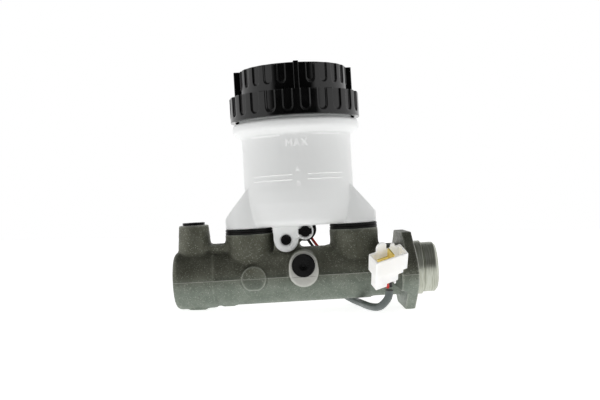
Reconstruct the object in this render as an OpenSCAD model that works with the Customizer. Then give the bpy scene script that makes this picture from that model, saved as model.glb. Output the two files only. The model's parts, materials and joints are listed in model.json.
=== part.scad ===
// Tandem brake master cylinder with its reservoir, level switch and lead.
// The origin is the centre of the mounting face, on the bore's axis. The bore runs
// along X with its open end towards +X, and the reservoir stands towards +Z.

/* [Bore and barrel] */
// Diameter of the bore
bore_d = 22.22; // [20.6:0.01:22.4]
// Distance from the mounting face to the closed end
barrel_l = 140; // [140:0.5:144]
// Outside diameter of the barrel
barrel_d = 32.6; // [32:0.2:33]
// Outside diameter of the thicker end at the closed end
end_d = 34.4; // [34:0.2:36]
// Length of the thicker end
end_l = 23.8; // [20:0.2:25]
// Outside diameter between the barrel and the flange
neck_d = 31; // [30:0.5:32]
// Diameter of the collar that centres in the booster
collar_d = 32; // [31:0.5:34]
// Length of that collar in front of the mounting face
collar_l = 6.7; // [5:0.1:8]
// Diameter of the spigot in front of the collar
spigot_d = 29.6; // [29:0.1:30]
// Distance from the mounting face to the end of the spigot
spigot_l = 15.6; // [15.6:0.1:18]

/* [Mounting flange] */
// Distance between the two mounting holes
bolt_spacing = 70; // [68:0.5:74]
// Diameter of the mounting holes
bolt_hole_d = 9; // [8.4:0.1:9.5]
// Thickness of the flange plate
flange_t = 6; // [5:0.5:7]
// Thickness of the bar that carries the holes
ear_t = 9.6; // [9:0.1:11]
// Radius of each ear
ear_r = 10; // [9:0.5:11]
// Height of the flange plate
flange_h = 44.6; // [43:0.2:46]

/* [Reservoir seats and ports] */
// Distance of the rear reservoir seat from the mounting face
rear_seat_x = 32; // [31:0.5:33]
// Distance between the two reservoir seats
seat_spacing = 62.5; // [62:0.1:63]
// Diameter of the reservoir seats
seat_d = 28.8; // [28:0.2:29.4]
// Height of the reservoir seats above the bore's axis
seat_z = 25.8; // [25:0.1:27]
// Distance of the top port from the mounting face
top_port_x = 127.5; // [127:0.1:128]
// Height of the top port's face above the bore's axis
top_port_z = 32.8; // [32:0.1:34]
// Distance of the front port from the mounting face
front_port_x = 63.2; // [62:0.1:64]
// Distance of the front port's face from the bore's axis
front_port_y = 25; // [24.5:0.1:26]
// Radius of the threaded part of both ports
port_thread_r = 4.46; // [4.3:0.01:4.6]

/* [Reservoir and cap] */
// Diameter of the tank's straight wall
tank_d = 65; // [64:0.5:66]
// Thickness of the tank's wall
tank_wall = 2.2; // [1.8:0.1:2.4]
// Height of the top of the tank's straight wall above the bore's axis
tank_shoulder_z = 82; // [81:0.5:83]
// Diameter of the cap's lower tier
cap_d = 77; // [76.6:0.2:78]
// Diameter of the cap's upper tier
cap_upper_d = 64; // [63:0.5:65]
// Number of grip places round each tier of the cap
grip_count = 24; // [16:8:24]
// Rise of the cap's thread in one turn
cap_pitch = 4; // [4:0.5:5]

/* [Pistons] */
// Running gap between the pistons and the bore
piston_gap = 0.05; // [0.03:0.01:0.08]
// Wire diameter of the two return springs
spring_wire_d = 2.2; // [1.8:0.1:2.2]

/* [Lead] */
// Diameter of each wire
wire_d = 1.8; // [1.6:0.1:2]
// Diameter of the sheath round the two wires
sheath_d = 4.3; // [4:0.1:4.4]

/* [Hidden] */
$fn = 96;

// Hidden sizes of the casting
bore_r = bore_d / 2;
bore_end_x = -134;
end_round = 3.4;
draft_step = 1;
seam_x = -barrel_l + end_l + draft_step;
front_seat_x = -rear_seat_x - seat_spacing;
tank_x = -rear_seat_x - seat_spacing / 2;
seat_bore_r = 10.2;
seat_floor_z = 15.6;
inlet_r = 2.5;
front_inlet_x = -93;
rear_inlet_x = -30.2;
front_vent_x = -103.6;
rear_vent_x = -40.9;
vent_r = 0.5;
flange_flat = 18;
flange_corner_r = 4;
front_port_z = 6.8;
port_mouth_r = 5.3;
port_mouth_l = 4;
front_thread_l = 7.5;
top_thread_l = 9;
tube_seat_l = 2.5;
seat_pocket_r = port_thread_r - 0.2;
passage_r = 1.5;
passage_off = 1.7;
lug_x = -72.5;
lug_z = 21.3;
lug_r = 6.7;
lug_half_w = 8.4;
pin_r = 3;
pin_l = 24.6;
stop_x = -93.7;
stop_hole_r = 3;
stop_face_y = 21;
groove_x = 13.3;

// Hidden sizes of the tank and the cap
foot_bottom_z = 28.9;
tank_bottom_z = 29.4;
foot_r = 13.9;
spigot_r = 6.4;
spigot_tip_z = 17.2;
neck_r = 33.4;
neck_top_z = 102.6;
switch_x = -61.1;
switch_z = 25.8;
switch_tube_r = 5;
switch_bore_r = 3.3;
tube_front_y = -14.6;
tube_rear_y = 18.6;
tab_r = 7.3;
tab_in_y = 8.8;
tab_out_y = 12;
post_r = 2.4;
post_top_z = 79;
tank_floor_z = tank_bottom_z + tank_wall;
cap_bottom_z = 91.8;
cap_ledge_z = 106.4;
cap_top_z = 122;
cap_wall = 2;
cap_lug_r = 35.2;
cap_inner_r = 35.6;
cap_rest_turn = 3.5;
lower_grip_lead = 6.3;
thread_depth = 1.2;
thread_turns = 1.5;

// Hidden sizes of the pistons. Each place is given with the brake released.
piston_r = bore_r - piston_gap;
cup_r = bore_r - 0.06;
stud_r = 5;
waist_r = 6.5;
groove_r = 7.4;
secondary_x = [-107, -98.5, -96, -78, -76, -73, -71.8, -68.8, -67];
primary_x = [-44, -36, -33.5, -3, -1.5, 2, 11.7];
spring_mean_r = 7.6;
screw_r = 2.4;
screw_head_r = 3.8;
recess_r = 4.3;

// Hidden places of the connector: a corner of its open face, and how it is turned
connector_at = [-24.46, -60.2, 8.2];
connector_turn = [35.1, -12.8, 19.6];
connector_w = 19.4;
connector_d = 8.8;
shroud_h = 11;
connector_h = 19.7;
blade_w = 6.3;
side_blade = [4.8, 2.2];
cross_blade = [11.2, 4.4];

// Routes of the wires and of the sheath, in order from the switch to the connector
red_route = [
  [-58, 21.8, 22], [-57.4, 23.6, 20.6], [-55.9, 24, 18], [-53.4, 23.6, 14.2], [-50.6, 23.2, 9.4],
  [-48.2, 23, 3.8], [-46.4, 22.9, -2], [-45.2, 22.6, -7.4]
];
black_route = [
  [-60.2, 21.8, 21.4], [-59.8, 23.6, 19.8], [-58, 24, 16.8], [-55.4, 23.6, 12.8], [-52.6, 23.2, 8],
  [-50, 22.8, 2.6], [-48.1, 22.1, -3], [-46.4, 21.2, -8]
];
sheath_route = [
  [-45.8, 22, -7.7], [-44, 21.3, -11.2], [-40.6, 18.9, -14.8], [-36.6, 14.9, -17.4],
  [-33.4, 9.4, -18.8], [-31, 3, -19.4], [-29.3, -4, -19.5], [-28.1, -12, -19.4],
  [-26.5, -20.6, -19.1], [-24.6, -28.6, -18.7], [-22, -34.7, -17.8], [-19.7, -39, -15.4],
  [-17.5, -41.4, -12], [-16.8, -42.4, -8]
];

// Ends of the two connector wires, in the connector's own axes
red_tail = [[4.8, 2.2, -14.2], [5.2, 2.2, -15.6], [6.9, 2.1, -17.4], [8.4, 2, -19.4], [8.7, 1.9, -22.2]];
black_tail = [[11.2, 4.4, -14.2], [11.1, 4, -15.4], [10.9, 3, -17.4], [10.7, 2.1, -19.4], [10.7, 1.9, -22.2]];

// Points of an arc round a centre, from one angle to another
function arc(centre, r, from, to, steps = 8) =
  [for (i = [0:steps]) let (a = from + (to - from) * i / steps) centre + r * [cos(a), sin(a)]];

// Direction, seen from a disc's centre, in which its tangent to the next disc touches it
function tangent_angle(a, b) =
  atan2(b[1] - a[1], b[0] - a[0]) - acos((a[2] - b[2]) / norm([b[0] - a[0], b[1] - a[1]]));

// Flat outline round a ring of discs [x, y, r], listed counter-clockwise
module belt(discs) {
  n = len(discs);
  polygon([for (i = [0:n - 1])
    let (
      disc = discs[i],
      from = tangent_angle(discs[(i + n - 1) % n], disc),
      to = tangent_angle(disc, discs[(i + 1) % n]),
      sweep = to - from - 360 * floor((to - from) / 360)
    ) each arc([disc[0], disc[1]], disc[2], from, from + sweep, 10)]);
}

// Cylinder along X between two places
module x_rod(from, to, r) {
  translate([from, 0, 0]) rotate([0, 90, 0]) cylinder(r = r, h = to - from);
}

// Cylinder along Y between two places
module y_rod(from, to, r, x = 0, z = 0) {
  translate([x, from, z]) rotate([-90, 0, 0]) cylinder(r = r, h = to - from);
}

// Cylinder along Z between two places
module z_rod(from, to, r, x = 0, y = 0) {
  translate([x, y, from]) cylinder(r = r, h = to - from);
}

// Solid turned about the bore's axis from [x, radius] points
module turned(points) {
  rotate([0, 90, 0]) rotate_extrude() polygon([for (p = points) [p[1], p[0]]]);
}

// Solid turned about a vertical axis from [radius, z] points
module turned_up(points, x = 0, y = 0) {
  translate([x, y, 0]) rotate_extrude() polygon(points);
}

// Extrude a flat outline, drawn in Y and Z, along X between two places
module x_plate(from, to) {
  translate([from, 0, 0]) rotate([90, 0, 90]) linear_extrude(to - from) children();
}

// Extrude a flat outline, drawn in X and Z, along Y between two places
module y_plate(from, to) {
  translate([0, to, 0]) rotate([90, 0, 0]) linear_extrude(to - from) children();
}

// Sweep a round section along a route: unit directions, frames and rings
function unit(v) = v / norm(v);
function direction(route, i) =
  unit(route[min(i + 1, len(route) - 1)] - route[max(i - 1, 0)]);
function side(route, i) = unit(cross(direction(route, i), [0.3, 0.9, 0.32]));
function ring(route, i, r, sides) =
  let (u = side(route, i), v = cross(direction(route, i), u))
  [for (k = [0:sides - 1]) let (a = 360 * k / sides) route[i] + r * (cos(a) * u + sin(a) * v)];
module swept(route, r, sides = 8) {
  rings = len(route);
  wall = [for (i = [0:rings - 2], k = [0:sides - 1]) let (n = (k + 1) % sides)
    each [[i * sides + k, i * sides + n, (i + 1) * sides + n],
          [i * sides + k, (i + 1) * sides + n, (i + 1) * sides + k]]];
  polyhedron(
    points = [for (i = [0:rings - 1]) each ring(route, i, r, sides)],
    faces = concat(
      [for (f = wall) [f[0], f[2], f[1]]],
      [[for (k = [0:sides - 1]) k]],
      [[for (k = [sides - 1:-1:0]) (rings - 1) * sides + k]]
    )
  );
}

// Points along the smooth curve through a route, three to each stretch
function smooth(route) = [
  for (i = [0:len(route) - 2])
    let (
      p0 = route[max(i - 1, 0)], p1 = route[i], p2 = route[i + 1], p3 = route[min(i + 2, len(route) - 1)]
    )
    for (t = i == len(route) - 2 ? [0, 1 / 3, 2 / 3, 1] : [0, 1 / 3, 2 / 3])
      0.5 * (2 * p1 + (p2 - p0) * t + (2 * p0 - 5 * p1 + 4 * p2 - p3) * t * t
        + (3 * p1 - p0 - 3 * p2 + p3) * t * t * t)
];

// Round-wire coil spring along X, with its wire inside the given ends
module coil_spring(from, to, turns, mean_r, wire_r) {
  steps = 12;
  count = turns * steps;
  swept([for (i = [0:count])
    let (a = 360 * i / steps, x = from + wire_r * 1.1 + (to - from - 2.2 * wire_r) * i / count)
    [x, mean_r * cos(a), mean_r * sin(a)]], wire_r, 6);
}

// Cup seal on the bore: a flat back, a body and a lip that opens towards -X or +X
module cup(back_x, length, inner_r, opens) {
  lip = 0.55 * length;
  turned([
    [back_x, inner_r], [back_x, cup_r - 0.5], [back_x + opens * 0.6, cup_r - 0.15],
    [back_x + opens * length, cup_r], [back_x + opens * length, cup_r - 0.9],
    [back_x + opens * (length - lip), cup_r - 1.7], [back_x + opens * (length - lip), inner_r]
  ]);
}

// The casting, outside only
module barrel() {
  x_rod(-barrel_l, -barrel_l + end_l, end_d / 2 - end_round);
  x_rod(-barrel_l + end_round, -barrel_l + end_l, end_d / 2);
  translate([-barrel_l + end_round, 0, 0]) rotate([0, 90, 0])
    rotate_extrude() translate([end_d / 2 - end_round, 0]) circle(r = end_round);
  turned([[-barrel_l + end_l, 0], [-barrel_l + end_l, end_d / 2], [seam_x, barrel_d / 2], [seam_x, 0]]);
  x_rod(seam_x, -24, barrel_d / 2);
  x_rod(-24, -flange_t, neck_d / 2);
  x_rod(-flange_t - 0.1, collar_l, collar_d / 2);
  turned([
    [collar_l, 0], [collar_l, spigot_d / 2 - 0.5], [collar_l + 0.9, spigot_d / 2 - 0.5],
    [collar_l + 0.9, spigot_d / 2], [spigot_l - 1.6, spigot_d / 2], [spigot_l, spigot_d / 2 - 1.6],
    [spigot_l, 0]
  ]);
}

module flange() {
  corner_y = flange_flat;
  corner_z = flange_h / 2 - flange_corner_r;
  ear_y = bolt_spacing / 2;
  x_plate(-flange_t, 0) belt([
    [ear_y, 0, ear_r], [corner_y, corner_z, flange_corner_r], [-corner_y, corner_z, flange_corner_r],
    [-ear_y, 0, ear_r], [-corner_y, -corner_z, flange_corner_r], [corner_y, -corner_z, flange_corner_r]
  ]);
  x_plate(-ear_t, 0) belt([[ear_y, 0, ear_r], [-ear_y, 0, ear_r]]);
}

// A reservoir seat: a round boss whose foot runs down into the barrel
module reservoir_seat(x) {
  z_rod(0, seat_z, seat_d / 2, x);
}

module top_port_boss() {
  turned_up([[0, 0], [9.9, 0], [9.9, 20], [8.8, top_port_z], [0, top_port_z]], -top_port_x);
}

// Low web between the top port's boss and the front seat
module web() {
  translate([-top_port_x, -6.5, 0]) cube([top_port_x + front_seat_x, 13, 20.8]);
}

// Front port's boss: a round pad whose machined face reaches further down
module front_port_boss() {
  y_plate(-front_port_y, 0) belt([[-front_port_x, 3, 8.8], [-front_port_x, front_port_z + 0.2, 8.4]]);
}

// Blank pad on the parting line, with a flat bottom
module round_pad() {
  intersection() {
    y_rod(-18.2, 0, 7.4, -92.4);
    translate([-102, -20, -6.8]) cube([20, 20, 16]);
  }
}

// Lug that the reservoir's tabs straddle
module pin_lug() {
  y_plate(-lug_half_w, lug_half_w) belt([[lug_x, lug_z, lug_r], [lug_x - 1.2, 8, 8], [lug_x + 2.6, 8, 8]]);
}

// Thin raised line left at the mould's joint
module parting_line() {
  for (s = [-1, 1])
    translate([-barrel_l + 4, s * (barrel_d / 2) - 0.6, -0.35]) cube([barrel_l - 30, 1.2, 0.7]);
}

module stop_bolt_boss() {
  y_rod(0, stop_face_y, 7, stop_x);
}

module port_hole(mouth_l, thread_l) {
  // Drawn along +Z from the port's face, which is at zero, down into the casting
  z_rod(-mouth_l, 1, port_mouth_r);
  z_rod(-mouth_l - thread_l, 1, port_thread_r);
  z_rod(-mouth_l - thread_l - tube_seat_l, 1, seat_pocket_r);
}

module cylinder_body() {
  color([0.46, 0.47, 0.42]) difference() {
    union() {
      barrel();
      flange();
      reservoir_seat(front_seat_x);
      reservoir_seat(-rear_seat_x);
      top_port_boss();
      web();
      front_port_boss();
      round_pad();
      pin_lug();
      parting_line();
      stop_bolt_boss();
    }
    x_rod(bore_end_x, spigot_l + 1, bore_r);
    x_rod(groove_x - 0.65, groove_x + 0.65, bore_r + 0.9);
    for (x = [front_seat_x, -rear_seat_x]) z_rod(seat_floor_z, seat_z + 1, seat_bore_r, x);
    for (x = [front_inlet_x, rear_inlet_x]) z_rod(bore_r - 2, seat_floor_z + 1, inlet_r, x);
    for (x = [front_vent_x, rear_vent_x]) z_rod(bore_r - 2, seat_floor_z + 1, vent_r, x);
    translate([-top_port_x, 0, top_port_z]) port_hole(port_mouth_l, top_thread_l);
      z_rod(bore_r - 3, top_port_z, passage_r, passage_off - top_port_x);
    translate([-front_port_x, -front_port_y, front_port_z])
      rotate([90, 0, 0]) port_hole(port_mouth_l, front_thread_l);
    y_rod(-front_port_y, -6, passage_r, passage_off - front_port_x, front_port_z);
    y_rod(9, stop_face_y + 1, stop_hole_r, stop_x);
    y_rod(-lug_half_w - 1, lug_half_w + 1, pin_r + 0.02, lug_x, lug_z);
    for (s = [-1, 1]) translate([0, s * bolt_spacing / 2, 0]) x_rod(-ear_t - 1, 1, bolt_hole_d / 2);
  }
}

// Outer shape of the tank's pot, from its floor to the top of its neck
module pot(inset) {
  wall_r = tank_d / 2 - inset;
  shoulder_r = cap_d / 2 - 0.8 - inset;
  floor_z = tank_bottom_z + inset;
  corner = 5 - inset;
  turned_up(concat(
    [[0, floor_z]],
    arc([25.3, floor_z + corner], corner, -90, -8),
    [[31.1 - inset, 38], [32 - inset, 43], [wall_r, 50], [wall_r, tank_shoulder_z - inset / 2]],
    arc([shoulder_r - 2.4, tank_shoulder_z + 4.6 - inset / 2], 2.4, -60, 0, 4),
    [[shoulder_r, 89.4 - inset], [shoulder_r - 1.6, 90.6 - inset],
     [neck_r - inset, 90.6 - inset], [neck_r - inset, neck_top_z + inset], [0, neck_top_z + inset]]
  ), tank_x);
}

// One hollow foot over a reservoir seat, with its slanted roof
module foot(x, lean, inset) {
  roof_z = 35 - inset * 0.6;
  difference() {
    z_rod(foot_bottom_z + inset, 54, foot_r - inset, x);
    translate([x + lean * (foot_r - inset), 0, roof_z]) rotate([0, lean * 49, 0])
      translate([-40, -20, 0]) cube([80, 40, 40]);
  }
}

// Ridge of the coarse thread on the tank's neck, swept round it with a small section
module neck_thread() {
  steps = 36;
  count = thread_turns * steps;
  section = [[-0.6, -1], [thread_depth, -0.4], [thread_depth, 0.2], [-0.6, 0.9]];
  rise = cap_pitch / steps;
  polyhedron(
    points = [for (i = [0:count], p = section)
      let (a = 360 * i / steps, r = neck_r + p[0])
      [tank_x + r * cos(a), r * sin(a), 95.2 + rise * i + p[1]]],
    faces = concat(
      [[3, 2, 1, 0], [count * 4, count * 4 + 1, count * 4 + 2, count * 4 + 3]],
      [for (i = [0:count - 1], k = [0:3]) let (n = (k + 1) % 4)
        each [[i * 4 + k, i * 4 + n, (i + 1) * 4 + n], [i * 4 + k, (i + 1) * 4 + n, (i + 1) * 4 + k]]]
    )
  );
}

// Low wall across the tank's floor, with a round well for the float
module floor_baffle() {
  difference() {
    union() {
      translate([tank_x - 0.8, -27, tank_floor_z - 0.5]) cube([1.6, 54, 12]);
      z_rod(tank_floor_z - 0.5, tank_floor_z + 11.5, 14, switch_x);
    }
    z_rod(tank_floor_z, tank_floor_z + 12, 12.8, switch_x);
    translate([switch_x - 20, -3, tank_floor_z]) cube([40, 6, 12]);
  }
}

// Two ears that hold the retaining pin on each side of the casting's lug
module pin_tabs() {
  for (s = [-1, 1])
    y_plate(s > 0 ? tab_in_y : -tab_out_y, s > 0 ? tab_out_y : -tab_in_y)
      difference() {
        belt([[lug_x, lug_z, tab_r], [lug_x + 0.2, 31, tab_r], [lug_x - 0.2, 31, tab_r]]);
        translate([lug_x - 10, tank_floor_z - 0.4]) square([20, 10]);
      }
}

module reservoir_tank() {
  color([0.93, 0.95, 0.95]) difference() {
    union() {
      difference() {
        union() {
          pot(0);
          foot(front_seat_x, -1, 0);
          foot(-rear_seat_x, 1, 0);
        }
        pot(tank_wall);
        foot(front_seat_x, -1, tank_wall);
        foot(-rear_seat_x, 1, tank_wall);
      }
      floor_baffle();
      z_rod(tank_floor_z - 0.5, post_top_z, post_r, switch_x);
      for (x = [front_seat_x, -rear_seat_x]) z_rod(spigot_tip_z, foot_bottom_z + 1, spigot_r, x);
      y_rod(tube_front_y, tube_rear_y, switch_tube_r, switch_x, switch_z);
      pin_tabs();
      neck_thread();
    }
    for (x = [front_seat_x, -rear_seat_x]) z_rod(spigot_tip_z - 1, foot_bottom_z + 4, spigot_r - 1.8, x);
    y_rod(tube_front_y - 1, tube_rear_y + 1, switch_bore_r, switch_x, switch_z);
    y_rod(-tab_out_y - 1, tab_out_y + 1, pin_r + 0.05, lug_x, lug_z);
  }
}

// U-shaped grip grooves, open at the top of a tier. The lugs take the place of every lug_step-th one.
module grip_grooves(r, bottom_z, top_z, width, depth, lug_step = 0) {
  for (i = [0:grip_count - 1])
    if (lug_step == 0 || i % lug_step != 0)
      rotate([0, 0, 360 * i / grip_count])
        translate([r - depth, 0, 0]) rotate([90, 0, 90]) linear_extrude(depth + 2)
          union() {
            translate([0, bottom_z + width / 2]) circle(d = width);
            translate([-width / 2, bottom_z + width / 2]) square([width, top_z - bottom_z]);
          }
}

module reservoir_cap() {
  upper_r = cap_upper_d / 2;
  clamp_z = neck_top_z + 1.6;
  color([0.03, 0.03, 0.03]) translate([tank_x, 0, 0]) rotate([0, 0, cap_rest_turn]) difference() {
    union() {
      z_rod(cap_bottom_z, cap_ledge_z, cap_d / 2);
      z_rod(cap_ledge_z - 1, cap_top_z, upper_r);
      for (i = [0:3]) rotate([0, 0, 90 * i])
        translate([upper_r - 2, -1.5, cap_ledge_z - 1])
          cube([cap_lug_r - upper_r + 2, 3, cap_top_z - cap_ledge_z + 1]);
    }
    z_rod(cap_bottom_z - 1, clamp_z, cap_inner_r);
    z_rod(cap_bottom_z - 1, cap_top_z - cap_wall, upper_r - cap_wall - 1.6);
    rotate([0, 0, lower_grip_lead]) grip_grooves(cap_d / 2, 94.5, cap_ledge_z, 5.4, 1.1);
    grip_grooves(upper_r, cap_ledge_z + 4.6, cap_top_z, 4.6, 1, grip_count / 4);
  }
}

// Folded rubber bellows under the cap, clamped on the neck's rim
module cap_diaphragm() {
  rim_z = neck_top_z + 0.05;
  color([0.08, 0.08, 0.08]) translate([tank_x, 0, 0]) rotate_extrude() polygon([
    [0, rim_z - 11], [12, rim_z - 11], [12, rim_z - 4], [18, rim_z - 4], [18, rim_z - 13],
    [27.6, rim_z - 13], [27.6, rim_z], [34.9, rim_z], [34.9, rim_z + 1.5], [26, rim_z + 1.5],
    [26, rim_z - 11.4], [19.6, rim_z - 11.4], [19.6, rim_z - 2.4], [10.4, rim_z - 2.4],
    [10.4, rim_z - 9.4], [0, rim_z - 9.4]
  ]);
}

module level_float() {
  bottom_z = tank_floor_z + 0.6;
  color([0.85, 0.8, 0.6]) difference() {
    z_rod(bottom_z, bottom_z + 10, 12.2, switch_x);
    z_rod(bottom_z - 1, bottom_z + 11, post_r + 0.35, switch_x);
    z_rod(bottom_z - 1, bottom_z + 3, 7.05, switch_x);
  }
}

module float_magnet() {
  bottom_z = tank_floor_z + 0.6;
  color([0.25, 0.25, 0.27]) difference() {
    z_rod(bottom_z, bottom_z + 2.95, 7, switch_x);
    z_rod(bottom_z - 1, bottom_z + 4, post_r + 0.6, switch_x);
  }
}

// Snap-in level switch: a rod with two barbs in front and a D-shaped flange behind
module level_switch() {
  front_y = tube_front_y - 1.5;
  color([0.05, 0.05, 0.05]) difference() {
    union() {
      y_rod(front_y, tube_rear_y + 1, 3.1, switch_x, switch_z);
      for (s = [-1, 1]) translate([switch_x + s * 2.9 - 1, front_y, switch_z - 1.6]) cube([2, 1.4, 3.2]);
      y_plate(tube_rear_y + 0.1, tube_rear_y + 3.2) difference() {
        translate([switch_x, switch_z]) circle(r = 7.2);
        translate([switch_x - 8, switch_z + 3.4]) square([16, 6]);
      }
    }
    y_rod(tube_front_y + 4, tube_rear_y + 4, 1.3, switch_x, switch_z);
  }
}

module reed_capsule() {
  color([0.5, 0.7, 0.6]) y_rod(tube_front_y + 5, tube_rear_y - 6, 1.2, switch_x, switch_z);
}

// Rubber grommet that seals one of the tank's spigots in its seat
module grommet(x) {
  color([0.06, 0.06, 0.06]) difference() {
    union() {
      z_rod(seat_z + 0.02, foot_bottom_z - 0.02, 14, x);
      z_rod(seat_floor_z + 0.1, seat_z + 0.1, seat_bore_r - 0.05, x);
    }
    z_rod(seat_floor_z - 1, foot_bottom_z + 1, spigot_r + 0.05, x);
    translate([x, 0, seat_z + 1.5]) rotate_extrude() translate([14.1, 0]) circle(r = 0.4, $fn = 16);
  }
}

module front_seat_grommet() {
  grommet(front_seat_x);
}

module rear_seat_grommet() {
  grommet(-rear_seat_x);
}

// Solid pin, dished at both ends, through the tank's ears and the casting's lug
module reservoir_pin() {
  color([0.12, 0.12, 0.12]) difference() {
    y_rod(-pin_l / 2, pin_l / 2, pin_r, lug_x, lug_z);
    for (side = [-1, 1])
      y_rod(side * pin_l / 2 - 1.5, side * pin_l / 2 + 1.5, pin_r - 0.9, lug_x, lug_z);
  }
}

// Transit plug, drawn along +Z with the port's face at zero
module port_plug() {
  color([0.04, 0.04, 0.04]) difference() {
    union() {
      z_rod(0.05, 1.5, 6.65);
      z_rod(-port_mouth_l + 0.2, 0.1, port_mouth_r - 0.08);
    }
    z_rod(0.6, 2, 2.6);
    z_rod(-0.6, 1, 1.6);
  }
}

module front_port_plug() {
  translate([-front_port_x, -front_port_y, front_port_z]) rotate([90, 0, 0]) port_plug();
}

module top_port_plug() {
  translate([-top_port_x, 0, top_port_z]) port_plug();
}

// Cone that the brake pipe's flare seals on, drawn along +Z with its base at zero
module tube_seat() {
  color([0.75, 0.6, 0.3]) difference() {
    turned_up([[0, 0.05], [seat_pocket_r - 0.04, 0.05], [seat_pocket_r - 0.04, 0.9], [2.2, 2.45], [0, 2.45]]);
    z_rod(-1, 4, passage_r - 0.4);
    z_rod(-1, 0.6, passage_r + passage_off + 0.05);
  }
}

module front_tube_seat() {
  depth = port_mouth_l + front_thread_l + tube_seat_l;
  translate([-front_port_x, -front_port_y + depth, front_port_z]) rotate([90, 0, 0]) tube_seat();
}

module top_tube_seat() {
  depth = port_mouth_l + top_thread_l + tube_seat_l;
  translate([-top_port_x, 0, top_port_z - depth]) tube_seat();
}

module primary_piston() {
  x = primary_x;
  color([0.72, 0.73, 0.75]) difference() {
    turned([
      [x[0], 0], [x[0], stud_r], [x[1], stud_r], [x[1], piston_r], [x[2], piston_r], [x[2], waist_r],
      [x[3], waist_r], [x[3], piston_r], [x[4], piston_r], [x[4], groove_r], [x[5], groove_r],
      [x[5], piston_r], [x[6], piston_r], [x[6], 0]
    ]);
    x_rod(x[6] - 10, x[6] + 1, 4.5);
    x_rod(x[0] - 1, x[0] + 12, screw_r + 0.05);
  }
}

module primary_pressure_cup() {
  color([0.1, 0.1, 0.1]) cup(primary_x[1] - 0.05, 4.3, stud_r + 0.05, -1);
}

module primary_rear_cup() {
  color([0.1, 0.1, 0.1]) cup(primary_x[5] - 0.05, 3.3, groove_r + 0.05, -1);
}

// Screw that holds the caged primary spring at its length
module retainer_screw() {
  color([0.6, 0.6, 0.62]) {
    x_rod(secondary_x[8] + 1.4, primary_x[0] + 10, screw_r);
    x_rod(secondary_x[8] - 1.6, secondary_x[8] + 1.45, screw_head_r);
  }
}

module primary_spring() {
  color([0.5, 0.5, 0.52])
    coil_spring(secondary_x[8] + 1.3, primary_x[1] - 5.5, 5, spring_mean_r, spring_wire_d / 2);
}

// Washer between a pressure cup and its spring
module spring_seat(x) {
  color([0.7, 0.66, 0.4]) difference() {
    x_rod(x - 0.9, x, 9.3);
    x_rod(x - 2, x + 1, stud_r + 0.1);
  }
}

module primary_spring_seat() {
  spring_seat(primary_x[1] - 4.5);
}

// Cup that bears on the secondary piston and guides the caged spring
module spring_retainer() {
  x = secondary_x[8];
  color([0.7, 0.66, 0.4]) difference() {
    turned([
      [x + 0.05, 0], [x + 0.05, 9.8], [x + 1.2, 9.8], [x + 1.2, 5.9], [x + 3.2, 5.9], [x + 3.2, 0]
    ]);
    x_rod(x - 1, x + 1.7, screw_head_r + 0.3);
    x_rod(x, x + 4, screw_r + 0.3);
  }
}

module secondary_piston() {
  x = secondary_x;
  color([0.72, 0.73, 0.75]) difference() {
    turned([
      [x[0], 0], [x[0], stud_r], [x[1], stud_r], [x[1], piston_r], [x[2], piston_r], [x[2], waist_r],
      [x[3], waist_r], [x[3], piston_r], [x[4], piston_r], [x[4], groove_r], [x[5], groove_r],
      [x[5], piston_r], [x[6], piston_r], [x[6], groove_r], [x[7], groove_r], [x[7], piston_r],
      [x[8], piston_r], [x[8], 0]
    ]);
    x_rod(x[8] - 15, x[8] + 1, recess_r);
  }
}

module secondary_pressure_cup() {
  color([0.1, 0.1, 0.1]) cup(secondary_x[1] - 0.05, 4.3, stud_r + 0.05, -1);
}

module secondary_front_cup() {
  color([0.1, 0.1, 0.1]) cup(secondary_x[5] - 0.05, 2.8, groove_r + 0.05, -1);
}

module secondary_rear_cup() {
  color([0.1, 0.1, 0.1]) cup(secondary_x[6] + 0.05, 2.8, groove_r + 0.05, 1);
}

module secondary_spring_seat() {
  spring_seat(secondary_x[1] - 4.5);
}

module secondary_spring() {
  color([0.5, 0.5, 0.52])
    coil_spring(bore_end_x + 0.1, secondary_x[1] - 5.5, 6, spring_mean_r, spring_wire_d / 2);
}

// Bolt whose tip stops the secondary piston from coming back too far
module stop_bolt() {
  color([0.55, 0.55, 0.5]) {
    y_rod(7.4, 13, 2, stop_x);
    y_rod(12.9, stop_face_y + 1.1, stop_hole_r - 0.06, stop_x);
    translate([stop_x, stop_face_y + 1.05, 0]) rotate([-90, 0, 0]) cylinder(r = 5.6, h = 4.2, $fn = 6);
  }
}

module stop_bolt_washer() {
  color([0.75, 0.45, 0.3]) difference() {
    y_rod(stop_face_y + 0.02, stop_face_y + 1.02, 5.5, stop_x);
    y_rod(stop_face_y - 1, stop_face_y + 2, stop_hole_r + 0.1, stop_x);
  }
}

module stop_washer() {
  color([0.65, 0.65, 0.66]) difference() {
    x_rod(primary_x[6] + 0.05, groove_x - 0.66, bore_r - 0.1);
    x_rod(primary_x[6] - 1, groove_x, 7.5);
  }
}

module snap_ring() {
  color([0.3, 0.3, 0.32]) difference() {
    x_rod(groove_x - 0.6, groove_x + 0.6, bore_r + 0.8);
    x_rod(groove_x - 1, groove_x + 1, bore_r - 1.4);
    translate([groove_x - 1, -3, -bore_r - 2]) cube([2, 6, 6]);
  }
}

module switch_wire_red() {
  color([0.75, 0.1, 0.08]) swept(smooth(red_route), wire_d / 2);
}

module switch_wire_black() {
  color([0.05, 0.05, 0.05]) swept(smooth(black_route), wire_d / 2);
}

module lead_sheath() {
  color([0.3, 0.32, 0.32]) swept(smooth(sheath_route), sheath_d / 2, 10);
}

// Place a piece that is drawn in the connector's own axes: X across, Y from the front
// wall to the back wall, Z out of the open end, with zero at the open face's front left
module in_connector() {
  translate(connector_at) rotate(connector_turn) children();
}

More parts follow.
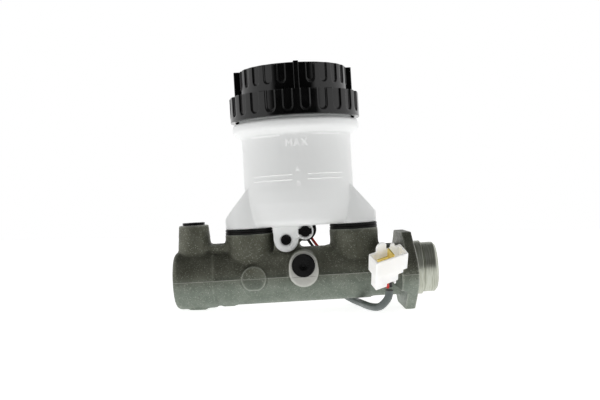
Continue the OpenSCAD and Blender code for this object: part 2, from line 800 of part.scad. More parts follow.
module connector_housing() {
  wall = 1;
  lower = [[0.4, 0.4], [12.6, 5.6]];
  color([0.95, 0.95, 0.94]) in_connector() difference() {
    union() {
      translate([0, 0, -shroud_h]) cube([connector_w, connector_d, shroud_h]);
      translate([lower[0].x, lower[0].y, -connector_h]) cube([lower[1].x, lower[1].y, connector_h - 1]);
      translate([12, lower[0].y, -17.6]) cube([2.2, lower[1].y, 16]);
      translate([12, lower[0].y, -13.4]) cube([5.2, lower[1].y, 12]);
      for (lobe = [[7.2, 3.1, 2.6], [14.2, 1.3, 1.4]])
        translate([lobe[0], connector_d, lobe[2]]) rotate([90, 0, 0]) {
          cylinder(r = lobe[1], h = wall + 0.3);
          translate([-lobe[1], -lobe[2] - 1, 0]) cube([2 * lobe[1], lobe[2] + 1, wall + 0.3]);
        }
    }
    translate([wall, wall, 1.2 - shroud_h]) cube([connector_w - 2 * wall, connector_d - 2 * wall, 30]);
    translate([lower[0].x + wall, lower[0].y + wall, -connector_h - 1])
      cube([lower[1].x - 2 * wall, lower[1].y - 2 * wall, 6]);
    for (tail = [side_blade, cross_blade])
      translate([tail.x, tail.y, -connector_h]) cylinder(r = 1.2, h = 12);
    translate([7.3, 0, -connector_h - 1]) cube([4.7, 2, 3]);
    translate([connector_w - 3, 4, -5]) cube([4, 1.4, 3]);
  }
}

module blade_terminal() {
  color([0.85, 0.7, 0.25]) {
    translate([-blade_w / 2, -0.4, -9]) cube([blade_w, 0.8, 9.4]);
    translate([-1.1, -0.4, -12]) cube([2.2, 0.8, 3.2]);
  }
}

module side_terminal() {
  in_connector() translate([side_blade.x, side_blade.y, 0.2]) blade_terminal();
}

module cross_terminal() {
  in_connector() translate([cross_blade.x, cross_blade.y, 0.6]) rotate([0, 0, 90]) blade_terminal();
}

module connector_wire_red() {
  color([0.75, 0.1, 0.08]) in_connector() swept(smooth(red_tail), wire_d / 2, 8);
}

module connector_wire_black() {
  color([0.05, 0.05, 0.05]) in_connector() swept(smooth(black_tail), wire_d / 2, 8);
}

cylinder_body();
reservoir_tank();
reservoir_cap();
cap_diaphragm();
level_float();
float_magnet();
level_switch();
reed_capsule();
front_seat_grommet();
rear_seat_grommet();
reservoir_pin();
front_port_plug();
top_port_plug();
front_tube_seat();
top_tube_seat();
primary_piston();
primary_pressure_cup();
primary_rear_cup();
retainer_screw();
primary_spring();
primary_spring_seat();
spring_retainer();
secondary_piston();
secondary_pressure_cup();
secondary_front_cup();
secondary_rear_cup();
secondary_spring();
secondary_spring_seat();
stop_bolt();
stop_bolt_washer();
stop_washer();
snap_ring();
switch_wire_red();
switch_wire_black();
lead_sheath();
connector_housing();
side_terminal();
cross_terminal();
connector_wire_red();
connector_wire_black();
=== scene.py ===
"""Looks of the tandem brake master cylinder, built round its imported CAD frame."""

import json
import math

import bmesh
import bpy
import numpy as np
from mathutils import Euler, Matrix, Vector

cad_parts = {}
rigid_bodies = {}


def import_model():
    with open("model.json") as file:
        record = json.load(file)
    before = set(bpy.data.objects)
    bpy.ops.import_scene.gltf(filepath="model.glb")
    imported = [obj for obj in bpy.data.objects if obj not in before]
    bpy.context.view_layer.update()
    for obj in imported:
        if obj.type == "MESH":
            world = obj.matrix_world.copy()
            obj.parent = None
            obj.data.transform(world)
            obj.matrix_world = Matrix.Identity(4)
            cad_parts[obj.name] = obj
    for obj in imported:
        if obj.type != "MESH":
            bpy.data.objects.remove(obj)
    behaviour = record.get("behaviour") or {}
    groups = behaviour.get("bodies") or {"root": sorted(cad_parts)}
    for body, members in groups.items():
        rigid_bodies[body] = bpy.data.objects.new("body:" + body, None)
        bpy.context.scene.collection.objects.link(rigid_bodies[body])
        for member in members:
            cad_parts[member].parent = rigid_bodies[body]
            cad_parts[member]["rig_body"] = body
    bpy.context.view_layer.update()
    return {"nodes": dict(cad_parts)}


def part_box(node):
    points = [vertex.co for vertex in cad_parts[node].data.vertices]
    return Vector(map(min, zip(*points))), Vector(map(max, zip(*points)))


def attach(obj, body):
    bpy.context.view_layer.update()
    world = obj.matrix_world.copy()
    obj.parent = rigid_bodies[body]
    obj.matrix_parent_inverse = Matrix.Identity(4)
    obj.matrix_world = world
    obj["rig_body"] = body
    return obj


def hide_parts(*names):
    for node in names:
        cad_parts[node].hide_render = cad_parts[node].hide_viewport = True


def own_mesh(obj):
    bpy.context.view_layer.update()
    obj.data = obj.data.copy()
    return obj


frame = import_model()

MM = 0.001
NODES = frame["nodes"]


def mm(*values):
    """A point given in millimetres, in metres."""
    return Vector(v * MM for v in values)


def node_box(name):
    """Lowest and highest corner of a CAD node, in millimetres."""
    low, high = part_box(name)
    return Vector(low) / MM, Vector(high) / MM


# ---------------------------------------------------------------- main places, in millimetres
CAP_LOW, CAP_HIGH = node_box("reservoir_cap")
TANK_X = (CAP_LOW.x + CAP_HIGH.x) / 2
FRONT_GROMMET_LOW, FRONT_GROMMET_HIGH = node_box("front_seat_grommet")
REAR_GROMMET_LOW, REAR_GROMMET_HIGH = node_box("rear_seat_grommet")
FRONT_SEAT_X = (FRONT_GROMMET_LOW.x + FRONT_GROMMET_HIGH.x) / 2
REAR_SEAT_X = (REAR_GROMMET_LOW.x + REAR_GROMMET_HIGH.x) / 2

# ---------------------------------------------------------------- camera
CAMERA_TILT = 3.3
camera_data = bpy.data.cameras.new("camera")
camera_data.lens = 50
camera_data.sensor_width = 36
camera = bpy.data.objects.new("camera", camera_data)
camera.location = mm(-63, -500, 44.2)
camera.rotation_euler = Euler((math.radians(90), math.radians(CAMERA_TILT), 0))
bpy.context.collection.objects.link(camera)
bpy.context.scene.camera = camera


# ---------------------------------------------------------------- making objects
def add_object(name, data, body="body"):
    """Link a new piece and let it ride on a CAD body."""
    obj = bpy.data.objects.new(name, data)
    bpy.context.collection.objects.link(obj)
    if body:
        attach(obj, body)
    return obj


# ---------------------------------------------------------------- cords
RED_ROUTE = [
    (-58, 21.8, 22), (-57.4, 23.6, 20.6), (-55.9, 24, 18), (-53.4, 23.6, 14.2), (-50.6, 23.2, 9.4),
    (-48.2, 23, 3.8), (-46.4, 22.9, -2), (-45.2, 22.6, -7.4),
]
BLACK_ROUTE = [
    (-60.2, 21.8, 21.4), (-59.8, 23.6, 19.8), (-58, 24, 16.8), (-55.4, 23.6, 12.8), (-52.6, 23.2, 8),
    (-50, 22.8, 2.6), (-48.1, 22.1, -3), (-46.4, 21.2, -8),
]
SHEATH_ROUTE = [
    (-45.8, 22, -7.7), (-44, 21.3, -11.2), (-40.6, 18.9, -14.8), (-36.6, 14.9, -17.4),
    (-33.4, 9.4, -18.8), (-31, 3, -19.4), (-29.3, -4, -19.5), (-28.1, -12, -19.4),
    (-26.5, -20.6, -19.1), (-24.6, -28.6, -18.7), (-22, -34.7, -17.8), (-19.7, -39, -15.4),
    (-17.5, -41.4, -12), (-16.8, -42.4, -8),
]


def smooth_route(points, steps=3):
    """Points along the smooth curve through a route."""
    route = [Vector(p) for p in points]
    out = []
    for i in range(len(route) - 1):
        p0, p1 = route[max(i - 1, 0)], route[i]
        p2, p3 = route[i + 1], route[min(i + 2, len(route) - 1)]
        for k in range(steps):
            t = k / steps
            out.append(0.5 * (
                2 * p1 + (p2 - p0) * t + (2 * p0 - 5 * p1 + 4 * p2 - p3) * t ** 2
                + (3 * p1 - p0 - 3 * p2 + p3) * t ** 3
            ))
    out.append(route[-1])
    return out


def cord_curve(name, points, diameter):
    """A round cord as a curve of one open spline. Its points carry the thickness, so its bounds come out right."""
    route = smooth_route(points)
    curve = bpy.data.curves.new(name, "CURVE")
    curve.dimensions = "3D"
    curve.bevel_depth = 1
    curve.bevel_resolution = 6
    curve.use_fill_caps = True
    spline = curve.splines.new("POLY")
    spline.points.add(len(route) - 1)
    for point, place in zip(spline.points, route):
        point.co = (*mm(*place), 1)
        point.radius = diameter / 2 * MM
    spline.use_smooth = True
    return add_object(name, curve)


red_wire = cord_curve("wire_red", RED_ROUTE, 1.8)
black_wire = cord_curve("wire_black", BLACK_ROUTE, 1.8)
sheath = cord_curve("sheath", SHEATH_ROUTE, 4.3)
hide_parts("switch_wire_red")
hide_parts("switch_wire_black")
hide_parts("lead_sheath")

# ---------------------------------------------------------------- floor and light
FLOOR_SLOPE = math.atan((22.3 - 17.2) / 131)
floor_mesh = bpy.data.meshes.new("floor")
floor_mesh.from_pydata(
    [(-1, -0.6, 0), (1, -0.6, 0), (1, 1, 0), (-1, 1, 0)], [], [(0, 1, 2, 3)]
)
floor = bpy.data.objects.new("floor", floor_mesh)
bpy.context.collection.objects.link(floor)
floor.rotation_euler = (0, FLOOR_SLOPE, 0)
floor.location = mm(-3, 0, -22.35)


floor_look = bpy.data.materials.new("white_table")
floor_look.use_nodes = True
floor_surface = floor_look.node_tree.nodes["Principled BSDF"]
floor_surface.inputs["Base Color"].default_value = (0.9, 0.9, 0.9, 1)
floor_surface.inputs["Roughness"].default_value = 0.9
floor_surface.inputs["Specular IOR Level"].default_value = 0.1
floor_surface.inputs["Emission Color"].default_value = (1, 1, 1, 1)
floor_surface.inputs["Emission Strength"].default_value = 0.8
floor.data.materials.append(floor_look)


def surround(opening_light, lid_light):
    """A white tent: bright at the sides and behind, dark overhead and where the camera looks in."""
    world = bpy.data.worlds.new("tent")
    bpy.context.scene.world = world
    world.use_nodes = True
    tree = world.node_tree
    way = tree.nodes.new("ShaderNodeTexCoord").outputs["Generated"]
    split = tree.nodes.new("ShaderNodeSeparateXYZ")
    tree.links.new(way, split.inputs[0])

    def fade(value, start, end, low, high):
        made = tree.nodes.new("ShaderNodeMapRange")
        made.interpolation_type = "SMOOTHSTEP"
        tree.links.new(value, made.inputs["Value"])
        for key, number in (("From Min", start), ("From Max", end), ("To Min", low), ("To Max", high)):
            made.inputs[key].default_value = number
        return made.outputs[0]

    opening = fade(split.outputs[1], -0.8, -0.62, opening_light, 1.0)
    lid = fade(split.outputs[2], 0.78, 0.42, lid_light, 1.0)
    strength = tree.nodes.new("ShaderNodeMath")
    strength.operation = "MULTIPLY"
    tree.links.new(opening, strength.inputs[0])
    tree.links.new(lid, strength.inputs[1])
    tree.links.new(strength.outputs[0], tree.nodes["Background"].inputs["Strength"])
    tree.nodes["Background"].inputs["Color"].default_value = (1, 1, 1, 1)


surround(0.02, 0.12)
bpy.context.scene.view_settings.view_transform = "Standard"

# ---------------------------------------------------------------- materials
class Shader:
    """A node-based procedural material; lengths in its textures are in millimetres."""

    def __init__(self, name):
        self.material = bpy.data.materials.new(name)
        self.material.use_nodes = True
        self.tree = self.material.node_tree
        self.surface = self.tree.nodes["Principled BSDF"]
        self.place = self.node("ShaderNodeTexCoord").outputs["Object"]
        self.axes = self.node("ShaderNodeSeparateXYZ", Vector=self.place).outputs
        self.height = None

    def node(self, kind, props=None, **inputs):
        made = self.tree.nodes.new(kind)
        for key, value in (props or {}).items():
            setattr(made, key, value)
        for key, value in inputs.items():
            self.join(made.inputs[int(key[1:]) if key[0] == "_" else key.replace("_", " ")], value)
        return made

    def join(self, socket, value):
        if isinstance(value, bpy.types.NodeSocket):
            self.tree.links.new(value, socket)
        else:
            socket.default_value = value

    def set(self, **inputs):
        for key, value in inputs.items():
            self.join(self.surface.inputs[key.replace("_", " ")], value)
        return self

    def math(self, operation, a, b=0.0, c=0.0):
        return self.node("ShaderNodeMath", {"operation": operation}, _0=a, _1=b, _2=c).outputs[0]

    def fade(self, value, start, end, low=0.0, high=1.0):
        """Smooth step of a value between two marks."""
        made = self.node("ShaderNodeMapRange", {"interpolation_type": "SMOOTHSTEP"}, Value=value)
        for key, number in (("From Min", start), ("From Max", end), ("To Min", low), ("To Max", high)):
            made.inputs[key].default_value = number
        return made.outputs[0]

    def noise(self, size, detail=3.0, stretch=None):
        """Cloudy noise whose spots are about size across."""
        place = self.place
        if stretch:
            place = self.node("ShaderNodeVectorMath", {"operation": "MULTIPLY"}, _0=place, _1=stretch).outputs[0]
        return self.node(
            "ShaderNodeTexNoise", Vector=place, Scale=1 / (size * MM), Detail=detail
        ).outputs["Fac"]

    def spots(self, size):
        """A random shade for each small cell."""
        cells = self.node("ShaderNodeTexVoronoi", Vector=self.place, Scale=1 / (size * MM))
        return self.node("ShaderNodeSeparateColor", Color=cells.outputs["Color"]).outputs[0]

    def band(self, axis, middle, half, soft=0.1):
        """One inside a band along an axis, zero outside it."""
        off = self.math("ABSOLUTE", self.math("SUBTRACT", self.axes[axis], middle * MM))
        return self.fade(off, (half + soft) * MM, half * MM)

    def mix(self, share, first, second):
        made = self.node("ShaderNodeMix", {"data_type": "RGBA"}, _0=share)
        for index, value in ((6, first), (7, second)):
            if not isinstance(value, bpy.types.NodeSocket):
                value = (*value, 1)
            self.join(made.inputs[index], value)
        return made.outputs[2]

    def bump(self, value, height, strength=1.0):
        """Raise the surface by a texture; height in millimetres. Later ones add up."""
        made = self.node("ShaderNodeBump", Height=value, Distance=height * MM, Strength=strength)
        if self.height is not None:
            self.join(made.inputs["Normal"], self.height)
        self.height = made.outputs[0]
        self.join(self.surface.inputs["Normal"], self.height)
        return self


def plain(name, colour, second, roughness, grain, height, spread=0.08, **inputs):
    """Moulded or machined stuff: two close colours, a fine grain and uneven gloss."""
    shader = Shader(name)
    shader.set(
        Base_Color=shader.mix(shader.fade(shader.noise(6), 0.35, 0.65), colour, second),
        Roughness=shader.fade(shader.noise(2.5), 0.3, 0.7, roughness - spread, roughness + spread),
        **inputs,
    )
    shader.bump(shader.noise(grain), height)
    return shader.material


def cast_metal():
    """Sand-cast aluminium alloy with bright specks, machined where tools have cut it; its colour holds painted
    shade above, painted light below, painted shade in creases and painted highlights on edges.
    """
    shader = Shader("cast_alloy")
    broad = shader.fade(shader.noise(9, 4), 0.35, 0.65)
    # Painted shade and light: the upper half is coloured darker and olive, the lower half lighter and cooler, as
    # the light falls from below.
    upper_painted_shade = shader.mix(broad, (0.1, 0.103, 0.075), (0.135, 0.138, 0.105))
    lower_painted_light = shader.mix(broad, (0.17, 0.2, 0.165), (0.215, 0.245, 0.205))
    skin = shader.mix(shader.fade(shader.axes[2], 6 * MM, -8 * MM), upper_painted_shade, lower_painted_light)
    fleck = shader.fade(shader.spots(0.42), 0.86, 1.0)
    skin = shader.mix(shader.math("MULTIPLY", fleck, 0.35), skin, (0.6, 0.6, 0.54))
    pit = shader.fade(shader.noise(0.9, 2), 0.38, 0.28)
    skin = shader.mix(shader.math("MULTIPLY", pit, 0.6), skin, (0.1, 0.095, 0.08))
    edge = shader.node("ShaderNodeNewGeometry").outputs["Pointiness"]
    # Painted shade: concave creases and inner corners are darkened where shade falls.
    skin = shader.mix(shader.fade(edge, 0.497, 0.465, 0.0, 0.7), skin, (0.035, 0.035, 0.028))
    # Painted highlight: convex edges and rims are lightened as if catching light.
    skin = shader.mix(shader.fade(edge, 0.505, 0.55, 0.0, 0.5), skin, (0.5, 0.52, 0.46))
    side = shader.fade(shader.math("ABSOLUTE", shader.axes[1]), 14.5 * MM, 15.5 * MM)
    seam = shader.math("MULTIPLY", side, shader.band(2, 0, 0.1, 0.2))
    skin = shader.mix(shader.math("MULTIPLY", seam, 0.4), skin, (0.6, 0.6, 0.55))
    face = shader.math("MULTIPLY", shader.fade(shader.axes[1], -24.55 * MM, -24.85 * MM),
                       shader.fade(shader.axes[0], -40 * MM, -41 * MM))
    top = shader.fade(shader.axes[2], 32.35 * MM, 32.6 * MM)
    back = shader.fade(shader.axes[0], -0.35 * MM, -0.15 * MM)
    cut = shader.math("MAXIMUM", shader.math("MAXIMUM", face, top), back)
    machined = shader.mix(shader.noise(1.5), (0.5, 0.5, 0.46), (0.6, 0.6, 0.56))
    rough_cast = shader.fade(shader.noise(1.6, 4), 0.3, 0.7, 0.42, 0.62)
    shader.set(
        Base_Color=shader.mix(cut, skin, machined),
        Metallic=0.55,
        Roughness=shader.mix(cut, rough_cast, (0.38, 0.38, 0.38)),
    )
    sand = shader.math("MULTIPLY", shader.noise(0.75, 4), shader.math("SUBTRACT", 1.0, cut))
    shader.bump(sand, 0.16, 0.85)
    shader.bump(seam, 0.15)
    return shader.material


def turned_metal():
    """Lathe-cut alloy with fine rings round X."""
    shader = Shader("turned_alloy")
    rings = shader.noise(0.5, 5, (1, 0.06, 0.06))
    shader.set(
        Base_Color=shader.mix(shader.fade(rings, 0.3, 0.7), (0.36, 0.37, 0.3), (0.58, 0.6, 0.53)),
        Metallic=0.9,
        Roughness=shader.fade(rings, 0.3, 0.7, 0.28, 0.48),
    )
    shader.bump(rings, 0.05)
    return shader.material


def tank_plastic():
    """Milky polypropylene that lets light through."""
    shader = Shader("milky_plastic")
    flow = shader.noise(14, 3, (1, 1, 0.35))
    shader.set(
        Base_Color=shader.mix(flow, (0.9, 0.915, 0.905), (0.94, 0.95, 0.94)),
        Roughness=shader.fade(shader.noise(3), 0.3, 0.7, 0.32, 0.44),
        Subsurface_Weight=0.6,
        Subsurface_Radius=(1.0, 1.0, 1.0),
        Subsurface_Scale=0.004,
        # Painted glow: a faint emission stands in for light passing through the plastic.
        Emission_Color=(0.95, 1.0, 0.97, 1.0),
        Emission_Strength=0.05,
    )
    shader.bump(shader.noise(7, 2), 0.12, 0.5)
    shader.bump(shader.noise(0.5, 3), 0.01)
    return shader.material


CAST = cast_metal()
TURNED = turned_metal()
TANK = tank_plastic()
CAP = plain("cap_plastic", (0.002, 0.002, 0.002), (0.004, 0.004, 0.004), 0.1, 0.6, 0.004, 0.03)
RUBBER = plain("black_rubber", (0.004, 0.004, 0.004), (0.009, 0.009, 0.0085), 0.4, 0.5, 0.02,
               Specular_IOR_Level=0.15)
BLACK = plain("black_plastic", (0.003, 0.003, 0.003), (0.006, 0.006, 0.006), 0.25, 0.5, 0.008,
              Specular_IOR_Level=0.12)
# White nylon carries a painted glow: its emission stands in for light passing through it.
NYLON = plain("white_nylon", (0.88, 0.88, 0.86), (0.92, 0.92, 0.905), 0.36, 0.5, 0.012,
              Subsurface_Weight=0.8, Subsurface_Radius=(1.0, 0.97, 0.9), Subsurface_Scale=0.003,
              Emission_Color=(1.0, 1.0, 0.96, 1.0), Emission_Strength=0.14)
BRASS = plain("brass", (0.95, 0.72, 0.16), (1.0, 0.82, 0.28), 0.38, 0.4, 0.01, Metallic=0.85)
STEEL = plain("plated_steel", (0.5, 0.5, 0.5), (0.58, 0.57, 0.54), 0.3, 0.4, 0.01, Metallic=1.0)
ALUMINIUM = plain("anodised_piston", (0.5, 0.5, 0.49), (0.58, 0.58, 0.57), 0.3, 0.4, 0.01, Metallic=1.0)
MAGNET = plain("dark_ferrite", (0.06, 0.06, 0.065), (0.09, 0.09, 0.095), 0.5, 0.5, 0.02)
# The moulded marks carry a painted glow: their emission makes them read whiter than the lit tank.
MARK = plain("moulded_mark", (0.93, 0.94, 0.93), (0.96, 0.965, 0.955), 0.4, 0.5, 0.01,
             Emission_Color=(1.0, 1.0, 1.0, 1.0), Emission_Strength=0.22)
FOAM = plain("float_foam", (0.6, 0.52, 0.33), (0.68, 0.6, 0.4), 0.6, 0.6, 0.05)
RED = plain("red_wire_skin", (0.55, 0.015, 0.012), (0.68, 0.03, 0.02), 0.35, 0.8, 0.03)
BLACK_WIRE = plain("black_wire_skin", (0.012, 0.012, 0.012), (0.02, 0.02, 0.02), 0.35, 0.8, 0.03)
SHEATH = plain("grey_sheath", (0.095, 0.115, 0.11), (0.12, 0.14, 0.135), 0.4, 1.2, 0.05)

NODE_MATERIALS = {
    CAST: ["cylinder_body"],
    TANK: ["reservoir_tank"],
    CAP: ["reservoir_cap"],
    RUBBER: ["cap_diaphragm", "front_seat_grommet", "rear_seat_grommet", "primary_pressure_cup",
             "primary_rear_cup", "secondary_pressure_cup", "secondary_front_cup", "secondary_rear_cup"],
    BLACK: ["level_switch", "reservoir_pin", "front_port_plug", "top_port_plug"],
    NYLON: ["connector_housing", "reed_capsule"],
    BRASS: ["side_terminal", "cross_terminal", "front_tube_seat", "top_tube_seat"],
    STEEL: ["retainer_screw", "primary_spring", "primary_spring_seat", "spring_retainer", "secondary_spring",
            "secondary_spring_seat", "stop_bolt", "stop_bolt_washer", "stop_washer", "snap_ring"],
    ALUMINIUM: ["primary_piston", "secondary_piston"],
    MAGNET: ["float_magnet"],
    FOAM: ["level_float"],
    RED: ["switch_wire_red", "connector_wire_red"],
    BLACK_WIRE: ["switch_wire_black", "connector_wire_black"],
    SHEATH: ["lead_sheath"],
}


def paint(obj, material):
    obj.data.materials.clear()
    obj.data.materials.append(material)
    return obj


for node_material, names in NODE_MATERIALS.items():
    for node_name in names:
        paint(NODES[node_name], node_material)
paint(red_wire, RED)
paint(black_wire, BLACK_WIRE)
paint(sheath, SHEATH)


# ---------------------------------------------------------------- shapes
def mesh_from(name, points, faces):
    """A smooth mesh from points in millimetres."""
    mesh = bpy.data.meshes.new(name)
    mesh.from_pydata([mm(*p) for p in points], [], faces)
    mesh.polygons.foreach_set("use_smooth", [True] * len(mesh.polygons))
    mesh.update()
    return mesh


def rounded_profile(corners, step=0.6):
    """A closed line of (across, along, corner radius), with its corners rounded and its sides divided."""
    count, out = len(corners), []
    for i in range(count):
        here = Vector(corners[i][:2])
        before = Vector(corners[i - 1][:2]) - here
        after = Vector(corners[(i + 1) % count][:2]) - here
        radius = corners[i][2]
        if not radius:
            out.append(here)
            continue
        half = before.angle(after) / 2
        reach = min(radius / math.tan(half), before.length * 0.49, after.length * 0.49)
        a, b = here + before.normalized() * reach, here + after.normalized() * reach
        for k in range(6):
            t = k / 5
            out.append((1 - t) ** 2 * a + 2 * t * (1 - t) * here + t * t * b)
    line = []
    for i, a in enumerate(out):
        b = out[(i + 1) % len(out)]
        parts = max(1, math.ceil((b - a).length / step))
        line += [a.lerp(b, k / parts) for k in range(parts)]
    return line


def lathe(name, profile, steps, place, shape=None):
    """A closed profile turned round an axis. place(across, along, angle) gives a point."""
    points = []
    for k in range(steps):
        angle = 2 * math.pi * k / steps
        for p in profile:
            across, along = (p.x, p.y) if shape is None else shape(p.x, p.y, angle)
            points.append(place(across, along, angle))
    n = len(profile)
    faces = [
        (k * n + i, k * n + (i + 1) % n, (k + 1) % steps * n + (i + 1) % n, (k + 1) % steps * n + i)
        for k in range(steps) for i in range(n)
    ]
    return mesh_from(name, points, faces)


def upright(x, y=0):
    """Places of a lathe whose axis stands along Z."""
    return lambda across, along, angle: (x + across * math.cos(angle), y + across * math.sin(angle), along)


def lying(across, along, angle):
    """Places of a lathe whose axis is the bore's."""
    return (along, across * math.cos(angle), across * math.sin(angle))


def joined(name, meshes):
    """One mesh out of several."""
    work = bmesh.new()
    for mesh in meshes:
        work.from_mesh(mesh)
    out = bpy.data.meshes.new(name)
    work.to_mesh(out)
    work.free()
    return out


def neighbours_mean(points, edges):
    """The mean place of each point's neighbours."""
    total, count = np.zeros_like(points), np.zeros(len(points))
    for a, b in ((0, 1), (1, 0)):
        for axis in range(3):
            total[:, axis] += np.bincount(edges[:, a], points[edges[:, b], axis], len(points))
        count += np.bincount(edges[:, a], minlength=len(points))
    return total / np.maximum(count, 1)[:, None]


def softened(name, sources, voxel, rounds=2, fillets=0, keep=None, cut=None):
    """A piece grown from other meshes as one skin, its edges slightly rounded and its inner corners filled.
    keep(points) is 1 where inner corners stay as they are; cut(points) is true where the skin is left out."""
    work = bpy.data.objects.new("work", joined("work", sources))
    bpy.context.collection.objects.link(work)
    skin = work.modifiers.new("skin", "REMESH")
    skin.mode = "VOXEL"
    skin.voxel_size = voxel * MM
    graph = bpy.context.evaluated_depsgraph_get()
    mesh = bpy.data.meshes.new_from_object(work.evaluated_get(graph))
    bpy.data.objects.remove(work)
    mesh.name = name
    points = np.empty(len(mesh.vertices) * 3, np.float32)
    mesh.vertices.foreach_get("co", points)
    points = points.reshape(-1, 3).astype(float)
    edges = np.empty(len(mesh.edges) * 2, np.int32)
    mesh.edges.foreach_get("vertices", edges)
    edges = edges.reshape(-1, 2)
    for _ in range(rounds):
        points += 0.5 * (neighbours_mean(points, edges) - points)
    if fillets:
        free = 1 - keep(points / MM) if keep else np.ones(len(points))
        for turn in range(fillets):
            if turn % 5 == 0:
                mesh.vertices.foreach_set("co", points.astype(np.float32).ravel())
                mesh.update()
                normals = np.empty(len(points) * 3, np.float32)
                mesh.vertices.foreach_get("normal", normals)
                normals = normals.reshape(-1, 3)
            step = neighbours_mean(points, edges) - points
            hollow = (step * normals).sum(1) > 0.002 * voxel * MM
            points += (0.5 * free * hollow)[:, None] * step
    mesh.vertices.foreach_set("co", points.astype(np.float32).ravel())
    if cut is not None:
        gone = cut(points / MM)
        work = bmesh.new()
        work.from_mesh(mesh)
        work.verts.ensure_lookup_table()
        bmesh.ops.delete(work, geom=[work.verts[i] for i in np.flatnonzero(gone)], context="VERTS")
        work.to_mesh(mesh)
        work.free()
    mesh.polygons.foreach_set("use_smooth", [True] * len(mesh.polygons))
    mesh.update()
    return mesh


def block(low, high, turn=None, bevel=0.4):
    """A box with bevelled edges between two corners in millimetres."""
    work = bmesh.new()
    bmesh.ops.create_cube(work, size=1)
    low, high = Vector(low), Vector(high)
    for v in work.verts:
        v.co = Vector(a + (c + 0.5) * (b - a) for a, b, c in zip(low, high, v.co)) * MM
    if bevel:
        bmesh.ops.bevel(work, geom=work.edges[:], offset=bevel * MM, segments=3, affect="EDGES", profile=0.5)
    if turn is not None:
        bmesh.ops.transform(work, matrix=turn, verts=work.verts[:])
    mesh = bpy.data.meshes.new("block")
    work.to_mesh(mesh)
    work.free()
    mesh.polygons.foreach_set("use_smooth", [True] * len(mesh.polygons))
    return mesh


def dome(place, radius, squash=(1, 1, 1)):
    """A ball, squashed along the axes."""
    work = bmesh.new()
    bmesh.ops.create_icosphere(work, subdivisions=3, radius=radius * MM)
    for v in work.verts:
        v.co = Vector(a * b for a, b in zip(v.co, squash)) + mm(*place)
    mesh = bpy.data.meshes.new("dome")
    work.to_mesh(mesh)
    work.free()
    return mesh


def piece(name, mesh, material, body="body", replaced=()):
    obj = add_object(name, mesh, body)
    paint(obj, material)
    if replaced:
        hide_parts(*replaced)
    return obj


# ---------------------------------------------------------------- casting
def kept_round(points):
    """Bores, bolt holes and ports keep their size while corners are filled."""
    x, y, z = points.T
    inside = (np.hypot(y, z) < 13.5)
    for seat in (FRONT_SEAT_X, REAR_SEAT_X):
        inside |= (np.hypot(x - seat, y) < 12) & (z > 12)
    inside |= (np.abs(np.hypot(np.abs(y) - 35, z)) < 6.5) & (x > -12)
    inside |= (np.hypot(x + 63.2, z - 6.8) < 6.6) & (y < -10)
    inside |= (np.hypot(x + 127.5, y) < 6.6) & (z > 12)
    inside |= (np.abs(x + 116) < 2.5) & (z < 15)
    return inside.astype(float)


cast_extras = [
    dome((-64.2, -3, 21.4), 2.2, (1.3, 1.2, 0.8)),
    dome((-47.6, -6, 15.6), 1.8, (1.6, 1.2, 0.9)),
    block((-132, -5.5, -18.1), (-122, 5.5, -16), bevel=0.8),
    block((-112.5, -4, -16.75), (-104.5, 4, -15), bevel=0.6),
]
casting = piece(
    "casting",
    softened("casting", [NODES["cylinder_body"].data, *cast_extras], 0.6, 3, 16, kept_round,
             cut=lambda p: p[:, 0] > 0.25),
    CAST, replaced=["cylinder_body"],
)
nose_profile = rounded_profile([
    (16, -0.6, 0), (16, 6.7, 0.35), (14.4, 6.9, 0.2), (14.4, 7.55, 0.2), (14.8, 7.6, 0.2), (14.8, 14.1, 0.3),
    (13.2, 15.6, 0.3), (11.6, 15.6, 0.3), (11.11, 15.0, 0.2), (11.11, 13.95, 0), (12, 13.95, 0),
    (12, 12.65, 0), (11.11, 12.65, 0), (11.11, -0.6, 0),
], 0.8)
piece("turned_nose", lathe("turned_nose", nose_profile, 256, lying), TURNED)

# ---------------------------------------------------------------- tank
shoulder_profile = rounded_profile([
    (31.2, 79.5, 0), (32.5, 80.5, 0), (32.7, 83.4, 2), (34.6, 86, 2), (36.6, 87.2, 1), (36.6, 89, 0), (31.2, 89, 0),
], 0.5)
shoulder = lathe("shoulder", shoulder_profile, 180, upright(TANK_X))
tank = piece("tank", softened("tank", [NODES["reservoir_tank"].data, shoulder], 0.55, 6), TANK,
             replaced=["reservoir_tank"])
TANK_R = 32.5


def on_tank(along, height, out=0.0):
    """A point on the tank's wall; along is measured round it from the front, height from the floor plane."""
    angle = along / TANK_R - math.pi / 2
    return (TANK_X + (TANK_R + out) * math.cos(angle), (TANK_R + out) * math.sin(angle), height)


def level_line(name, start, end, height, half=0.3, out=0.28):
    """A thin raised line round part of the tank."""
    steps = max(8, int(abs(end - start) / 0.5))
    section = [(-half, -0.3), (-half * 0.6, out), (half * 0.6, out), (half, -0.3)]
    points = [
        on_tank(start + (end - start) * k / steps, height + dz, dr) for k in range(steps + 1) for dz, dr in section
    ]
    faces = [
        (k * 4 + i, k * 4 + (i + 1) % 4, (k + 1) * 4 + (i + 1) % 4, (k + 1) * 4 + i)
        for k in range(steps) for i in range(4)
    ]
    faces += [(0, 1, 2, 3), tuple(steps * 4 + i for i in (3, 2, 1, 0))]
    return mesh_from(name, points, faces)


def level_letters(text, height, size, along=0.0):
    """Raised generic level letters, bent round the tank."""
    font = bpy.data.curves.new("letters", "FONT")
    font.body = text
    font.align_x = "CENTER"
    font.align_y = "CENTER"
    font.size = size
    font.extrude = 0.3
    font.space_character = 1.15
    work = bpy.data.objects.new("letters", font)
    bpy.context.collection.objects.link(work)
    mesh = bpy.data.meshes.new_from_object(work.evaluated_get(bpy.context.evaluated_depsgraph_get()))
    bpy.data.objects.remove(work)
    for v in mesh.vertices:
        v.co = mm(*on_tank(along + v.co.x, height + v.co.y, v.co.z * 0.9))
    return mesh


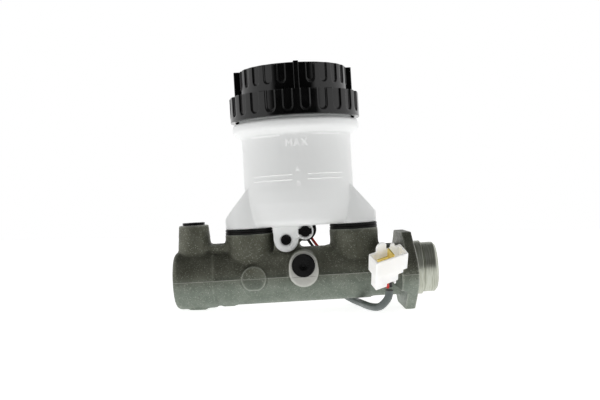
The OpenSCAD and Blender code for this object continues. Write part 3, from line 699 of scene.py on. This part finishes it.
marks = [
    level_line("mark", -29, -9.5, 81.2), level_line("mark", 9.5, 29, 81.2),
    level_line("mark", -29, -3.5, 58.9), level_line("mark", -29, -3.5, 56.0),
    level_line("mark", 5.5, 29, 58.9), level_line("mark", 5.5, 29, 56.0),
    level_letters("MAX", 76.6, 5.6), level_letters("A", 61.6, 3.8), level_letters("B", 53.6, 3.8),
]
tank_marks = piece("tank_marks", joined("tank_marks", marks), MARK)

# ---------------------------------------------------------------- cap
CAP_TURN = math.radians(3.5)
GRIP_STEP = 2 * math.pi / 24


def groove_share(arc, height, width, bottom):
    """How deep inside a groove a point lies: 0 outside, 1 well inside. arc is measured from its middle."""
    half = width / 2
    off = abs(arc) - half if height > bottom + half else math.hypot(arc, height - bottom - half) - half
    t = min(max((0.25 - off) / 0.5, 0), 1)
    return t * t * (3 - 2 * t)


def cap_shape(across, along, angle):
    """Cuts the grip grooves into both tiers of the cap."""
    def to_middle(lead, skip=0):
        turn = (angle - CAP_TURN - lead) / GRIP_STEP
        index = round(turn)
        return (turn - index) * GRIP_STEP, skip and index % skip == 0

    if across > 37 and 93 < along < 106.45:
        arc, _ = to_middle(math.radians(6.3))
        share = groove_share(arc * 38.5, along, 5.4, 94.5)
        return min(across, 38.5 - 1.1 * share), along
    if 30.5 < across <= 33 and along > 110:
        arc, lug = to_middle(0, 6)
        if not lug:
            share = groove_share(arc * 32, along, 4.6, 111)
            return min(across, 32 - share), along
    return across, along


cap_profile = rounded_profile([
    (35.6, 91.8, 0.3), (38.5, 91.8, 0.5), (38.5, 106.4, 0.6), (32, 106.4, 0.5), (32, 122, 0.9),
    (27.5, 122, 0.6), (26.7, 121.4, 0.5), (0.05, 121.4, 0), (0.05, 119.9, 0), (28.2, 119.9, 0.5),
    (28.2, 104.3, 0.5), (35.6, 104.3, 0.5),
], 0.5)
cap_parts = [lathe("cap", cap_profile, 900, upright(TANK_X), cap_shape)]
for quarter in range(4):
    turn = Matrix.Translation(mm(TANK_X, 0, 0)) @ Matrix.Rotation(CAP_TURN + quarter * math.pi / 2, 4, "Z")
    cap_parts.append(block((30.5, -1.5, 105.9), (35.2, 1.5, 122.2), turn, 0.4))
cap = piece("cap_shell", joined("cap_shell", cap_parts), CAP, "cap", ["reservoir_cap"])

# ---------------------------------------------------------------- seals and small parts
grommet_profile = rounded_profile([
    (6.45, 25.82, 0.2), (14.15, 25.82, 0.3), (14.15, 27.1, 0.3), (13.5, 27.3, 0.15), (14.15, 27.5, 0.3),
    (14.05, 28.88, 0.3), (6.45, 28.88, 0.2),
], 0.8)
for grommet_name, seat in (("front_seat_grommet", FRONT_SEAT_X), ("rear_seat_grommet", REAR_SEAT_X)):
    piece(grommet_name + "_seal", lathe("seal", grommet_profile, 128, upright(seat)), RUBBER,
          replaced=[grommet_name])

small_parts = {}
for node_name, voxel, material in (
    ("connector_housing", 0.22, NYLON), ("level_switch", 0.2, BLACK), ("reservoir_pin", 0.15, BLACK),
    ("front_port_plug", 0.18, BLACK), ("top_port_plug", 0.18, BLACK), ("stop_bolt", 0.25, STEEL),
    ("stop_washer", 0.2, STEEL), ("snap_ring", 0.15, STEEL), ("side_terminal", 0.12, BRASS),
    ("cross_terminal", 0.12, BRASS),
):
    node_body = NODES[node_name]["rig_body"]
    small_parts[node_name] = piece(
        node_name + "_part", softened(node_name, [NODES[node_name].data], voxel, 1), material, node_body,
        [node_name])

cord_end = [small_parts[n] for n in ("connector_housing", "side_terminal", "cross_terminal")]
cord_end += [NODES[n] for n in ("connector_wire_red", "connector_wire_black")]

# ---------------------------------------------------------------- return springs, each copied as a piece with its own mesh
for spring_name, pressed in (("primary_spring", 0.497), ("secondary_spring", 0.594)):
    node = NODES[spring_name]
    coil = piece(spring_name + "_coil", node.data.copy(), STEEL, node["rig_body"], [spring_name])
    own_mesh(coil)
